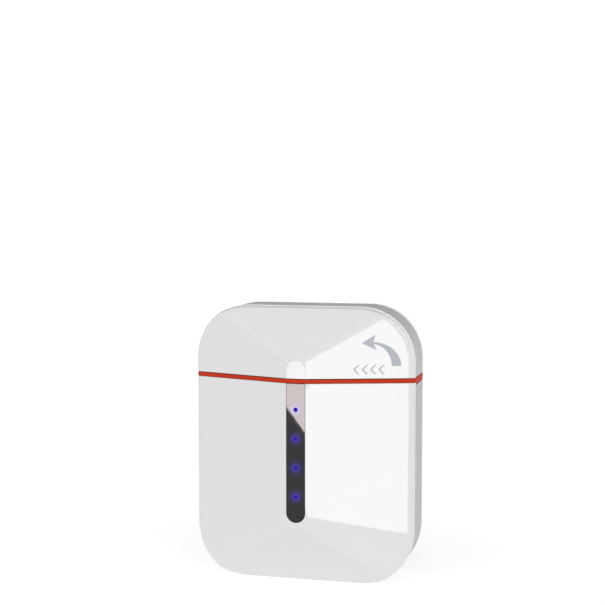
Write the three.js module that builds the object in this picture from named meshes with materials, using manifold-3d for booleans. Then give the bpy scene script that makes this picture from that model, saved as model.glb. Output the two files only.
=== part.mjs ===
// Wireless earbuds case: a faceted, pocket-sized charging case with a lid that swings up to the left
// in the plane of its front face. Millimetres, +Z up, front face towards -Y, origin under the middle of
// the whole object, hinge included. The glossy covers are shallow hipped roofs on either side of a
// straight grey frame.

import * as THREE from 'three';
import { mergeVertices } from 'three/addons/utils/BufferGeometryUtils.js';
import Module from 'manifold-3d';

const wasm = await Module();
wasm.setup();

// ---------- driving dimensions ----------

// outer form
const WIDTH = 44;
const HEIGHT = 54.3;
const CORNER = 10.6;
const FRAME_DEPTH = 8;
const CROWN = 7.6;
const RIDGE_HALF = 1.95;
const RIDGE_LOW = 11.6;
const RIDGE_HIGH = 44.5;
const SIDE_RISE = 1.16;
const TOP_RISE = 2.24;
const BOTTOM_RISE = 1.97;
const WALL = 1.2;
const CORNER_STEPS = 10;
const SMALL_STEPS = 4;

// seam between body and lid
const TRIM_TOP = 40.67;
const TRIM_HEIGHT = 0.75;
const TRIM_SIDE_HEIGHT = 1.3;
const SEAM_GAP = 0.13;
const JOINT = 0.06;
const LID_BOTTOM = TRIM_TOP + SEAM_GAP;
const COVER_TOP = TRIM_TOP - TRIM_HEIGHT - JOINT;
const FRAME_TOP = TRIM_TOP - TRIM_SIDE_HEIGHT - JOINT;
const SKIRT_OUTER = WALL + 0.1;
const SKIRT_INNER = WALL + 0.7;
const SKIRT_LOW = TRIM_TOP - 2.67;

// locating lip inside each cover's edge
const LIP_OUTER = WALL + 0.1;
const LIP_INNER = WALL + 0.9;
const LIP_REACH = 1;
const LIP_ROOT = 3.4;

// earbud wells: an ellipsoidal cup for each head, a round tube for each stem
const CUP = { x: 9.6, rx: 8, ry: 6.3, depth: 12.5, wall: 0.9 };
const STEM = { x: 13, radius: 3.9, wall: 0.7, floor: 5.2, floorThickness: 1 };
const DECK_TOP = 40.3;
const DECK_THICKNESS = 2;
const LID_CUP_HEIGHT = 7.5;
const LINER_BOTTOM = LID_BOTTOM + 0.3;
const LINER_THICKNESS = 1.2;
const LINER_INSET = WALL + 0.15;
const PIN_SPREAD = 1.3;
const PIN_RADIUS = 0.5;
const PIN_PLAY = 0.1;
const PIN_FLOOR = 0.25;
const PIN_LIP = 0.3;

// the sprung plunger in each contact pin, which stands proud of the well's floor and is pressed down
const PLUNGER = { radius: 0.3, boreRadius: 0.38, length: 1.5, proud: 0.9 };

// hinge on the left wall, with its pin along Y on the outer face of the wall
const HINGE = {
  x: -WIDTH / 2, z: TRIM_TOP + SEAM_GAP / 2, radius: 0.8, pinRadius: 0.4, boreRadius: 0.46,
  halfLength: 2.4, middleHalf: 0.75, gap: 0.1, sheet: 0.45, screwSpread: 1.4, notchPlay: 0.2,
  body: { direction: -1, leafLength: 6, screwAway: 4 },
  lid: { direction: 1, leafLength: 2.8, screwAway: 1.85 },
};

const HINGE_SCREW = {
  headRadius: 0.75, headHeight: 0.35, shankRadius: 0.42, driveRadius: 0.35, holeRadius: 0.52,
  tapRadius: 0.5, skin: 0.25,
};

// charge-level window and what is behind it; fronts and backs are places along Y
const WINDOW_HALF = 1.84;
const WINDOW_PLAY = 0.06;
const WINDOW_LOW = 12.8;
const INLAY_HIGH = 44.4;
const LED_TOP = 34.82;
const LED_PITCH = 5.66;
const LED_COUNT = 4;
const LAMP_LOW = 14.8;
const LAMP_HIGH = 37.8;
const WINDOW_BACK = -9.6;
const WINDOW_FLANGE = { width: 1, thickness: 0.4 };
const PIPE = { radius: 0.4, play: 0.06, footRadius: 0.95, footFront: -9.45, footBack: -9.15 };
const BAFFLE = { halfWidth: 2.6, front: -9.5, back: -8.4, holeRadius: 1.05 };
const LEVEL_LIGHT = { halfWidth: 0.75, halfHeight: 0.4, front: -9.1, back: -8.4 };
const LIGHT_BOARD = { halfWidth: 2.8, front: -8.35, back: -7.55 };

// power and electronics
const BOARD = { halfWidth: 8, low: 2.6, high: 25.4, back: -1.7, thickness: 0.8 };
const BOARD_SCREW = {
  x: 6.6, z: 10, shankRadius: 0.5, headRadius: 1.1, headHeight: 0.6, driveRadius: 0.45,
  length: 4, postRadius: 1.4, tapRadius: 0.6, clearanceRadius: 0.7,
};
const COMPONENT_GAP = 0.05;
const CHIP = { x0: -5.5, x1: -2.5, z0: 16, z1: 19, height: 0.8 };
const COIL = { x0: 1.8, x1: 4.8, z0: 20, z1: 23, height: 1.5 };
const LINK = { halfWidth: 2.4, front: -7.5, low: 12.8, elbow: 14.6, rise: 17, thickness: 1 };
const LID_SENSOR = { halfWidth: 0.8, front: -7.5, back: -6.8, low: 35.6, high: 37.2 };
const CONTACT_BOARD = {
  halfWidth: 12, low: 3, high: 3.6, front: -4.4, back: -3, padHalf: 2, padBack: 2.5,
};
const PORT = { halfWidth: 4.45, halfDepth: 1.6, wall: 0.3, low: 0.15, high: 7.4, play: 0.15 };
const TONGUE = { halfWidth: 3.35, halfDepth: 0.35, low: 1.6, high: 6.9 };
const BATTERY = { halfWidth: 7.8, front: -0.7, back: 7, low: 8.8, high: 24.8, corner: 1.6 };
const BATTERY_PAD = { halfWidth: 6, gap: 0.1, thickness: 1.4, low: 10, high: 23.6 };

const EDGE = FRAME_DEPTH / 2;
const RIDGE_Y = EDGE + CROWN;
const FAR = 40;

// ---------- colours ----------

const WHITE = { color: 0xe4e4e6, roughness: 0.12, metalness: 0 };
const GREY = { color: 0xb2b4b5, roughness: 0.4, metalness: 0 };
const RED = { color: 0xc8341e, roughness: 0.3, metalness: 0 };
const SMOKE = { color: 0x2b2627, roughness: 0.08, metalness: 0 };
const CLEAR = { color: 0x2330ff, roughness: 0.1, metalness: 0 };
const PEARL = { color: 0xe9e9ec, roughness: 0.25, metalness: 0 };
const BLACK = { color: 0x1b1b1d, roughness: 0.55, metalness: 0 };
const GREEN = { color: 0x1d5a3a, roughness: 0.5, metalness: 0 };
const STEEL = { color: 0xb9bbbe, roughness: 0.3, metalness: 1 };
const GOLD = { color: 0xd9ad55, roughness: 0.3, metalness: 1 };
const FOIL = { color: 0x8f959b, roughness: 0.4, metalness: 0.4 };

// ---------- solids ----------

function solid(geometry) {
  const bare = geometry.clone();
  bare.deleteAttribute('normal');
  bare.deleteAttribute('uv');
  const merged = mergeVertices(bare, 1e-5);
  return new wasm.Manifold(new wasm.Mesh({
    numProp: 3,
    vertProperties: new Float32Array(merged.attributes.position.array),
    triVerts: new Uint32Array(merged.index.array),
  }));
}

function geometryOf(manifold) {
  const mesh = manifold.getMesh();
  const geometry = new THREE.BufferGeometry();
  geometry.setAttribute('position', new THREE.BufferAttribute(mesh.vertProperties, 3));
  geometry.setIndex(new THREE.BufferAttribute(mesh.triVerts, 1));
  geometry.computeVertexNormals();
  return geometry;
}

function box(x0, x1, y0, y1, z0, z1) {
  const geometry = new THREE.BoxGeometry(x1 - x0, y1 - y0, z1 - z0);
  geometry.translate((x0 + x1) / 2, (y0 + y1) / 2, (z0 + z1) / 2);
  return solid(geometry);
}

function slice(z0, z1) {
  return box(-FAR, FAR, -FAR, FAR, z0, z1);
}

function extrude(shape, length, curveSegments = CORNER_STEPS) {
  return new THREE.ExtrudeGeometry(shape, { depth: length, bevelEnabled: false, curveSegments });
}

// a shape drawn in X and Z, standing between y0 and y1
function alongY(shape, y0, y1) {
  const geometry = extrude(shape, y1 - y0);
  geometry.rotateX(Math.PI / 2);
  geometry.translate(0, y1, 0);
  return solid(geometry);
}

// a shape drawn in Y and Z, standing between x0 and x1
function alongX(shape, x0, x1) {
  const geometry = extrude(shape, x1 - x0);
  const turn = new THREE.Matrix4().makeBasis(
    new THREE.Vector3(0, 1, 0), new THREE.Vector3(0, 0, 1), new THREE.Vector3(1, 0, 0));
  geometry.applyMatrix4(turn);
  geometry.translate(x0, 0, 0);
  return solid(geometry);
}

// a shape drawn in X and Y, standing between z0 and z1
function alongZ(shape, z0, z1) {
  const geometry = extrude(shape, z1 - z0, SMALL_STEPS);
  geometry.translate(0, 0, z0);
  return solid(geometry);
}

function rod(axis, radius, centre, from, to, sides = 16) {
  const geometry = new THREE.CylinderGeometry(radius, radius, to - from, sides);
  const middle = (from + to) / 2;
  if (axis === 'x') {
    geometry.rotateZ(-Math.PI / 2);
    geometry.translate(middle, centre[0], centre[1]);
  } else if (axis === 'y') {
    geometry.translate(centre[0], middle, centre[1]);
  } else {
    geometry.rotateX(Math.PI / 2);
    geometry.translate(centre[0], centre[1], middle);
  }
  return solid(geometry);
}

function ellipsoid(x, y, z, rx, ry, rz) {
  const geometry = new THREE.SphereGeometry(1, 24, 12);
  geometry.rotateX(Math.PI / 2);
  geometry.scale(rx, ry, rz);
  geometry.translate(x, y, z);
  return solid(geometry);
}

function polygon(points) {
  return new THREE.Shape(points.map(([u, v]) => new THREE.Vector2(u, v)));
}

function roundedRectangle(u0, u1, v0, v1, radius) {
  const shape = new THREE.Shape();
  shape.moveTo(u0 + radius, v0);
  shape.lineTo(u1 - radius, v0);
  shape.absarc(u1 - radius, v0 + radius, radius, -Math.PI / 2, 0);
  shape.lineTo(u1, v1 - radius);
  shape.absarc(u1 - radius, v1 - radius, radius, 0, Math.PI / 2);
  shape.lineTo(u0 + radius, v1);
  shape.absarc(u0 + radius, v1 - radius, radius, Math.PI / 2, Math.PI);
  shape.lineTo(u0, v0 + radius);
  shape.absarc(u0 + radius, v0 + radius, radius, Math.PI, 1.5 * Math.PI);
  return shape;
}

// ---------- the outer form ----------

// the case's front outline, moved inwards by inset, between y0 and y1
function outline(inset, y0, y1) {
  const half = WIDTH / 2 - inset;
  return alongY(roundedRectangle(-half, half, inset, HEIGHT - inset, CORNER - inset), y0, y1);
}

// a sloping facet that falls from the ridge to its rise above the frame's edge, over a run of run
function facet(rise, run) {
  const slope = (CROWN - rise) / run;
  return { slope, rise, normal: Math.hypot(1, slope) };
}

const SIDE = facet(SIDE_RISE, WIDTH / 2 - RIDGE_HALF);
const TOP = facet(TOP_RISE, HEIGHT - RIDGE_HIGH);
const BOTTOM = facet(BOTTOM_RISE, RIDGE_LOW);

// half the depth of the case where a facet is run away from the outline
function depthAt(plane, run, inset) {
  return EDGE + plane.rise + plane.slope * run - inset * plane.normal;
}

// how far from the outline a facet meets the ridge
function runAtRidge(plane, inset) {
  return (RIDGE_Y - inset - EDGE - plane.rise + inset * plane.normal) / plane.slope;
}

// the whole case as one convex solid, with every face moved inwards by inset
function gem(inset) {
  const ridge = RIDGE_Y - inset;
  const ridgeX = WIDTH / 2 - runAtRidge(SIDE, inset);
  const sideX = WIDTH / 2 + 1;
  const sideY = depthAt(SIDE, -1, inset);
  const across = polygon([
    [-ridgeX, -ridge], [ridgeX, -ridge], [sideX, -sideY], [sideX, sideY],
    [ridgeX, ridge], [-ridgeX, ridge], [-sideX, sideY], [-sideX, -sideY],
  ]);
  const low = runAtRidge(BOTTOM, inset);
  const high = HEIGHT - runAtRidge(TOP, inset);
  const lowY = depthAt(BOTTOM, -1, inset);
  const highY = depthAt(TOP, -1, inset);
  const upright = polygon([
    [-ridge, low], [-lowY, -1], [lowY, -1], [ridge, low],
    [ridge, high], [highY, HEIGHT + 1], [-highY, HEIGHT + 1], [-ridge, high],
  ]);
  const prism = alongZ(across, -1, HEIGHT + 1);
  const wedge = alongX(upright, -WIDTH, WIDTH);
  return prism.intersect(wedge).intersect(outline(inset, -FAR, FAR));
}

const OUTER = gem(0);
const INNER = gem(WALL);

// ---------- scene graph ----------

const wirelessEarbudsCase = new THREE.Group();
const body = new THREE.Group();
const lid = new THREE.Group();
const contacts = new THREE.Group();
wirelessEarbudsCase.add(body, lid, contacts);
// the hinge stands out of the left wall, so the case sits half of that to the right of the origin
wirelessEarbudsCase.position.x = HINGE.radius / 2;

function place(group, name, manifold, look) {
  const mesh = new THREE.Mesh(geometryOf(manifold), new THREE.MeshStandardMaterial(look));
  mesh.name = name;
  group.add(mesh);
}

// ---------- covers, frame and trim ----------

// side is -1 for the front and 1 for the back
function cover(side, z0, z1, lipLow, lipHigh) {
  const y0 = side < 0 ? -FAR : EDGE + JOINT;
  const y1 = side < 0 ? -EDGE - JOINT : FAR;
  const shell = OUTER.subtract(INNER).intersect(box(-FAR, FAR, y0, y1, z0, z1));
  const lipFrom = EDGE - LIP_REACH;
  const lipTo = EDGE + LIP_ROOT;
  const ring = outline(LIP_OUTER, -FAR, FAR).subtract(outline(LIP_INNER, -FAR, FAR));
  const span = side < 0 ? [-lipTo, -lipFrom] : [lipFrom, lipTo];
  const lip = ring.intersect(gem(WALL / 2)).intersect(box(-FAR, FAR, span[0], span[1], lipLow, lipHigh));
  return shell.add(lip);
}

// the upright strip along the ridge, round at one end and open at the other
function strip(half, z0, z1, roundEnd) {
  const shape = new THREE.Shape();
  if (roundEnd === 'bottom') {
    shape.moveTo(half, z1);
    shape.lineTo(-half, z1);
    shape.lineTo(-half, z0 + half);
    shape.absarc(0, z0 + half, half, Math.PI, 2 * Math.PI);
  } else {
    shape.moveTo(-half, z0);
    shape.lineTo(half, z0);
    shape.lineTo(half, z1 - half);
    shape.absarc(0, z1 - half, half, 0, Math.PI);
  }
  return shape;
}

const LIP_BODY_TOP = SKIRT_LOW - 0.2;
const LIP_LID_LOW = LINER_BOTTOM + LINER_THICKNESS + 0.3;

function boardBoss(x) {
  const reach = depthAt(SIDE, WIDTH / 2 - BOARD_SCREW.x, WALL / 2);
  const face = BOARD.back - BOARD.thickness - JOINT;
  const post = rod('y', BOARD_SCREW.postRadius, [x, BOARD_SCREW.z], -reach, face);
  const hole = rod('y', BOARD_SCREW.tapRadius, [x, BOARD_SCREW.z], face - BOARD_SCREW.length, face + 1);
  return { post: post.intersect(OUTER), hole };
}

function bodyFrontCover() {
  const half = WINDOW_HALF + WINDOW_PLAY;
  const slot = alongY(strip(half, WINDOW_LOW - WINDOW_PLAY, HEIGHT, 'bottom'), -FAR, -RIDGE_Y + 2 * WALL);
  let shape = cover(-1, -1, COVER_TOP, -1, LIP_BODY_TOP).subtract(slot);
  for (const x of [-BOARD_SCREW.x, BOARD_SCREW.x]) {
    const boss = boardBoss(x);
    shape = shape.add(boss.post).subtract(boss.hole);
  }
  return shape;
}

function lidFrontCover() {
  const half = WINDOW_HALF + WINDOW_PLAY;
  const slot = alongY(strip(half, 0, INLAY_HIGH + WINDOW_PLAY, 'top'), -FAR, -RIDGE_Y + 2 * WALL);
  return cover(-1, LID_BOTTOM, HEIGHT + 1, LIP_LID_LOW, HEIGHT + 1).subtract(slot);
}

// room in the left wall for the hinge's knuckles, reaching from z0 to z1
function hingeNotch(z0, z1, inward) {
  const half = HINGE.halfLength + HINGE.notchPlay;
  return box(HINGE.x - 2, HINGE.x + inward, -half, half, z0, z1);
}

function hingeScrewPlaces(leaf) {
  const z = HINGE.z + leaf.direction * leaf.screwAway;
  return [[-HINGE.screwSpread, z], [HINGE.screwSpread, z]];
}

// the holes that the hinge's screws bite into, which stop short of the outer face
function hingeTaps(leaf) {
  const holes = hingeScrewPlaces(leaf).map((centre) => rod(
    'x', HINGE_SCREW.tapRadius, centre, HINGE.x + HINGE_SCREW.skin, HINGE.x + 2, 12));
  return holes[0].add(holes[1]);
}

function frame(z0, z1) {
  const ring = outline(0, -EDGE, EDGE).subtract(outline(WALL, -FAR, FAR));
  return ring.intersect(slice(z0, z1));
}

function portOutline(margin) {
  const halfWidth = PORT.halfWidth + margin;
  const halfDepth = PORT.halfDepth + margin;
  return roundedRectangle(-halfWidth, halfWidth, -halfDepth, halfDepth, halfDepth - 0.01);
}

const KNUCKLE_ROOM = HINGE.radius + 0.3;

function bodyFrame() {
  const notch = hingeNotch(HINGE.z - KNUCKLE_ROOM, HEIGHT, WALL + 0.1);
  const socket = alongZ(portOutline(PORT.play), -1, WALL + 1);
  return frame(-1, FRAME_TOP).subtract(notch).subtract(socket).subtract(hingeTaps(HINGE.body));
}

function lidFrame() {
  const notch = hingeNotch(0, HINGE.z + KNUCKLE_ROOM, WALL + 0.1);
  return frame(LID_BOTTOM, HEIGHT + 1).subtract(notch).subtract(hingeTaps(HINGE.lid));
}

// the red rim that closes the body: deeper across the frame, with a skirt that locates inside the walls
function trimRing() {
  const low = TRIM_TOP - TRIM_SIDE_HEIGHT;
  const bore = gem(SKIRT_INNER);
  const band = OUTER.subtract(bore).intersect(slice(TRIM_TOP - TRIM_HEIGHT, TRIM_TOP));
  const side = outline(0, -EDGE, EDGE).subtract(bore).intersect(slice(low, TRIM_TOP));
  const skirt = gem(SKIRT_OUTER).subtract(bore).intersect(slice(SKIRT_LOW, TRIM_TOP));
  return band.add(side).add(skirt).subtract(hingeNotch(0, HEIGHT, SKIRT_INNER + 1));
}

place(body, 'body_front_cover', bodyFrontCover(), WHITE);
place(body, 'body_back_cover', cover(1, -1, COVER_TOP, -1, LIP_BODY_TOP), WHITE);
place(body, 'body_frame', bodyFrame(), GREY);
place(body, 'red_trim_ring', trimRing(), RED);
place(lid, 'lid_front_cover', lidFrontCover(), WHITE);
place(lid, 'lid_back_cover', cover(1, LID_BOTTOM, HEIGHT + 1, LIP_LID_LOW, HEIGHT + 1), WHITE);
place(lid, 'lid_frame', lidFrame(), GREY);

// ---------- earbud tray and lid liner ----------

const CUP_MAGNET = { x: 5, radius: 1.5, low: 26.1, high: 28, wall: 0.7 };
const LATCH = { x: 2.9, y: 7.2, halfX: 2, halfY: 1, height: 2, cover: 0.4 };
const SOCKET_WALL = 0.6;
const MAGNET_PLAY = 0.1;

// a pocket for a latch magnet: its block of material and the space inside
function latchPocket(x, z0, z1, openTo) {
  const x0 = x - LATCH.halfX - MAGNET_PLAY;
  const x1 = x + LATCH.halfX + MAGNET_PLAY;
  const y0 = LATCH.y - LATCH.halfY - MAGNET_PLAY;
  const y1 = LATCH.y + LATCH.halfY + MAGNET_PLAY;
  const block = box(x0 - SOCKET_WALL, x1 + SOCKET_WALL, y0 - SOCKET_WALL, y1 + SOCKET_WALL, z0, z1);
  const space = openTo < 0 ? box(x0, x1, y0, y1, z0 - 1, z1) : box(x0, x1, y0, y1, z0, z1 + 1);
  return { block, space };
}

function earbudTray() {
  const deckLow = DECK_TOP - DECK_THICKNESS;
  const tubeLow = STEM.floor - STEM.floorThickness;
  const room = gem(SKIRT_INNER + 0.1);
  let shape = room.intersect(slice(deckLow, DECK_TOP));
  const spaces = [];
  for (const side of [-1, 1]) {
    const cupX = side * CUP.x;
    const stemX = side * STEM.x;
    const magnetX = side * CUP_MAGNET.x;
    const outerCup = ellipsoid(cupX, 0, DECK_TOP, CUP.rx + CUP.wall, CUP.ry + CUP.wall, CUP.depth + CUP.wall);
    shape = shape.add(outerCup.intersect(slice(0, deckLow + 0.5)));
    shape = shape.add(rod('z', STEM.radius + STEM.wall, [stemX, 0], tubeLow, deckLow, 32));
    shape = shape.add(rod(
      'z', CUP_MAGNET.radius + CUP_MAGNET.wall, [magnetX, 0], CUP_MAGNET.low, CUP_MAGNET.high + 2));
    const pocket = latchPocket(side * LATCH.x, deckLow - 1.4, deckLow + 0.5, -1);
    shape = shape.add(pocket.block);
    spaces.push(pocket.space.intersect(slice(0, deckLow + 1)));
    spaces.push(ellipsoid(cupX, 0, DECK_TOP, CUP.rx, CUP.ry, CUP.depth));
    spaces.push(rod('z', STEM.radius, [stemX, 0], STEM.floor, HEIGHT, 32));
    spaces.push(rod('z', CUP_MAGNET.radius + MAGNET_PLAY, [magnetX, 0], 0, CUP_MAGNET.high));
    for (const offset of [-PIN_SPREAD, PIN_SPREAD]) {
      spaces.push(rod('z', PIN_RADIUS + PIN_PLAY, [stemX + offset, 0], 0, STEM.floor + 1, 16));
    }
  }
  shape = shape.intersect(room);
  for (const space of spaces) {
    shape = shape.subtract(space);
  }
  return shape;
}

function lidLiner() {
  const deckHigh = LINER_BOTTOM + LINER_THICKNESS;
  const room = gem(LINER_INSET);
  let shape = room.intersect(slice(LINER_BOTTOM, deckHigh));
  const leafHalf = HINGE.halfLength + 0.4;
  const leafRoom = box(-FAR, -WIDTH / 2 + WALL + 1.6, -leafHalf, leafHalf, 0, HEIGHT);
  const spaces = [leafRoom];
  for (const side of [-1, 1]) {
    const cupX = side * CUP.x;
    const outerCup = ellipsoid(
      cupX, 0, LINER_BOTTOM, CUP.rx + CUP.wall, CUP.ry + CUP.wall, LID_CUP_HEIGHT + CUP.wall);
    shape = shape.add(outerCup.intersect(slice(deckHigh - 0.5, HEIGHT)));
    const pocket = latchPocket(side * LATCH.x, deckHigh - 0.5, deckHigh + 1.7, 1);
    shape = shape.add(pocket.block);
    spaces.push(pocket.space);
    spaces.push(ellipsoid(cupX, 0, LINER_BOTTOM, CUP.rx, CUP.ry, LID_CUP_HEIGHT));
  }
  shape = shape.intersect(room);
  for (const space of spaces) {
    shape = shape.subtract(space);
  }
  return shape;
}

place(body, 'earbud_tray', earbudTray(), PEARL);
place(lid, 'lid_liner', lidLiner(), PEARL);

for (const [side, word] of [[-1, 'left'], [1, 'right']]) {
  const x = side * LATCH.x;
  const y0 = LATCH.y - LATCH.halfY;
  const y1 = LATCH.y + LATCH.halfY;
  const bodyTop = DECK_TOP - DECK_THICKNESS + LATCH.cover;
  const lidLow = LINER_BOTTOM + LINER_THICKNESS - LATCH.cover;
  const magnetX = side * CUP_MAGNET.x;
  const cupMagnet = rod('z', CUP_MAGNET.radius, [magnetX, 0], CUP_MAGNET.low, CUP_MAGNET.high - MAGNET_PLAY);
  const bodyLatch = box(x - LATCH.halfX, x + LATCH.halfX, y0, y1, bodyTop - LATCH.height, bodyTop);
  const lidLatch = box(x - LATCH.halfX, x + LATCH.halfX, y0, y1, lidLow, lidLow + LATCH.height);
  place(body, `earbud_magnet_${word}`, cupMagnet, STEEL);
  place(body, `body_latch_magnet_${word}`, bodyLatch, STEEL);
  place(lid, `lid_latch_magnet_${word}`, lidLatch, STEEL);
  for (const [offset, which] of [[-PIN_SPREAD, 'outer'], [PIN_SPREAD, 'inner']]) {
    const pinX = side * (STEM.x - offset);
    const foot = CONTACT_BOARD.high + COMPONENT_GAP;
    const top = STEM.floor + PLUNGER.proud;
    const barrel = rod('z', PIN_RADIUS, [pinX, 0], foot, STEM.floor + PIN_LIP, 12);
    const bore = rod('z', PLUNGER.boreRadius, [pinX, 0], foot + PIN_FLOOR, top, 12);
    const plunger = rod('z', PLUNGER.radius, [pinX, 0], top - PLUNGER.length, top, 12);
    place(body, `contact_pin_${word}_${which}`, barrel.subtract(bore), GOLD);
    place(contacts, `contact_plunger_${word}_${which}`, plunger, GOLD);
  }
}

// ---------- charge-level window, lights and inlay ----------

function chargeWindow() {
  const outerFace = -RIDGE_Y;
  const innerFace = outerFace + WALL;
  const flangeHalf = WINDOW_HALF + WINDOW_FLANGE.width;
  const flangeFront = WINDOW_BACK - WINDOW_FLANGE.thickness;
  let shape = alongY(strip(WINDOW_HALF, WINDOW_LOW, COVER_TOP, 'bottom'), outerFace, innerFace);
  shape = shape.add(box(-WINDOW_HALF, WINDOW_HALF, innerFace - 0.1, WINDOW_BACK, LAMP_LOW, LAMP_HIGH));
  shape = shape.add(box(-flangeHalf, flangeHalf, flangeFront, WINDOW_BACK, LAMP_LOW, LAMP_HIGH));
  for (let i = 0; i < LED_COUNT; i += 1) {
    shape = shape.subtract(rod('y', PIPE.radius + PIPE.play, [0, LED_TOP - i * LED_PITCH], -FAR, 0, 20));
  }
  return shape;
}

function lightBaffle() {
  let shape = box(-BAFFLE.halfWidth, BAFFLE.halfWidth, BAFFLE.front, BAFFLE.back, LAMP_LOW, LAMP_HIGH);
  for (let i = 0; i < LED_COUNT; i += 1) {
    shape = shape.subtract(rod('y', BAFFLE.holeRadius, [0, LED_TOP - i * LED_PITCH], -FAR, 0, 20));
  }
  return shape;
}

function lightPipe(z) {
  const foot = rod('y', PIPE.footRadius, [0, z], PIPE.footFront, PIPE.footBack, 20);
  return foot.add(rod('y', PIPE.radius, [0, z], -RIDGE_Y, PIPE.footBack - 0.15, 20));
}

function levelLight(z) {
  const { halfWidth, halfHeight, front, back } = LEVEL_LIGHT;
  return box(-halfWidth, halfWidth, front, back, z - halfHeight, z + halfHeight);
}

function lightBoard() {
  const { halfWidth, front, back } = LIGHT_BOARD;
  return box(-halfWidth, halfWidth, front, back, LAMP_LOW, LAMP_HIGH);
}

place(body, 'charge_window', chargeWindow(), SMOKE);
place(body, 'light_baffle', lightBaffle(), BLACK);
place(body, 'light_board', lightBoard(), GREEN);
for (let i = 0; i < LED_COUNT; i += 1) {
  const z = LED_TOP - i * LED_PITCH;
  place(body, `light_pipe_${i + 1}`, lightPipe(z), CLEAR);
  place(body, `level_light_${i + 1}`, levelLight(z), PEARL);
}
const inlayShape = strip(WINDOW_HALF, LID_BOTTOM, INLAY_HIGH, 'top');
place(lid, 'lid_ridge_inlay', alongY(inlayShape, -RIDGE_Y, -RIDGE_Y + WALL), PEARL);

// ---------- power and electronics ----------

function mainBoard() {
  const front = BOARD.back - BOARD.thickness;
  let shape = box(-BOARD.halfWidth, BOARD.halfWidth, front, BOARD.back, BOARD.low, BOARD.high);
  for (const x of [-BOARD_SCREW.x, BOARD_SCREW.x]) {
    shape = shape.subtract(rod('y', BOARD_SCREW.clearanceRadius, [x, BOARD_SCREW.z], -FAR, FAR, 20));
  }
  return shape;
}

function boardScrew(x) {
  const { z, headRadius, headHeight, shankRadius, driveRadius, length } = BOARD_SCREW;
  const top = BOARD.back + headHeight;
  const head = rod('y', headRadius, [x, z], BOARD.back + COMPONENT_GAP, top);
  const shank = rod('y', shankRadius, [x, z], BOARD.back - length, BOARD.back + 0.1, 12);
  const drive = rod('y', driveRadius, [x, z], top - 0.25, top + 1, 6);
  return head.add(shank).subtract(drive);
}

function portShell() {
  const bore = alongZ(portOutline(-PORT.wall), PORT.low - 1, PORT.high - 0.4);
  return alongZ(portOutline(0), PORT.low, PORT.high).subtract(bore);
}

function contactBoard() {
  const { halfWidth, low, high, front, back, padHalf, padBack } = CONTACT_BOARD;
  let shape = box(-halfWidth, halfWidth, front, back, low, high);
  for (const side of [-1, 1]) {
    const x = side * STEM.x;
    shape = shape.add(box(x - padHalf, x + padHalf, back - 0.1, padBack, low, high));
  }
  return shape;
}

function battery() {
  const { halfWidth, front, back, low, high, corner } = BATTERY;
  return alongZ(roundedRectangle(-halfWidth, halfWidth, front, back, corner), low, high);
}

function batteryPad() {
  const { halfWidth, gap, thickness, low, high } = BATTERY_PAD;
  return box(-halfWidth, halfWidth, BATTERY.back + gap, BATTERY.back + gap + thickness, low, high);
}

// the front of the board, with the gap that a component on it keeps
const COMPONENT_BACK = BOARD.back - BOARD.thickness - COMPONENT_GAP;

function component({ x0, x1, z0, z1, height }) {
  return box(x0, x1, COMPONENT_BACK - height, COMPONENT_BACK, z0, z1);
}

// carries the light board's wires back to the main board
function boardLink() {
  const { halfWidth, front, low, elbow, rise, thickness } = LINK;
  const run = box(-halfWidth, halfWidth, front, COMPONENT_BACK, low, elbow);
  return run.add(box(-halfWidth, halfWidth, front, front + thickness, elbow - 0.2, rise));
}

function lidSensor() {
  const { halfWidth, front, back, low, high } = LID_SENSOR;
  return box(-halfWidth, halfWidth, front, back, low, high);
}

function portTongue() {
  const { halfWidth, halfDepth, low, high } = TONGUE;
  return box(-halfWidth, halfWidth, -halfDepth, halfDepth, low, high);
}

place(body, 'main_board', mainBoard(), GREEN);
place(body, 'board_screw_left', boardScrew(-BOARD_SCREW.x), STEEL);
place(body, 'board_screw_right', boardScrew(BOARD_SCREW.x), STEEL);
place(body, 'charge_chip', component(CHIP), BLACK);
place(body, 'power_coil', component(COIL), BLACK);
place(body, 'board_link', boardLink(), BLACK);
place(body, 'lid_sensor', lidSensor(), BLACK);
place(body, 'charging_port_shell', portShell(), STEEL);
place(body, 'charging_port_tongue', portTongue(), BLACK);
place(body, 'battery', battery(), FOIL);
place(body, 'battery_pad', batteryPad(), BLACK);
place(body, 'contact_board', contactBoard(), GREEN);

// ---------- hinge ----------

// the body's leaf hangs down from the pin and the lid's leaf stands up from it
function hingeLeaf(leaf, knuckles, cleared) {
  const { direction } = leaf;
  const plateX0 = HINGE.x + WALL + HINGE.gap;
  const plateX1 = plateX0 + HINGE.sheet;
  const near = HINGE.z + direction * 0.3;
  const far = HINGE.z + direction * leaf.leafLength;
  const webFar = near + direction * HINGE.sheet;
  const half = HINGE.halfLength;
  let shape = box(plateX0, plateX1, -half, half, Math.min(near, far), Math.max(near, far));
  shape = shape.add(box(HINGE.x, plateX1, -half, half, Math.min(near, webFar), Math.max(near, webFar)));
  for (const [y0, y1] of cleared) {
    const margin = HINGE.radius + 0.15;
    shape = shape.subtract(rod('y', margin, [HINGE.x, HINGE.z], y0 - HINGE.gap, y1 + HINGE.gap));
  }
  for (const [y0, y1] of knuckles) {
    shape = shape.add(rod('y', HINGE.radius, [HINGE.x, HINGE.z], y0, y1));
  }
  for (const centre of hingeScrewPlaces(leaf)) {
    shape = shape.subtract(rod('x', HINGE_SCREW.holeRadius, centre, HINGE.x, 0, 16));
  }
  return shape.subtract(rod('y', HINGE.boreRadius, [HINGE.x, HINGE.z], -FAR, FAR));
}

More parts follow.
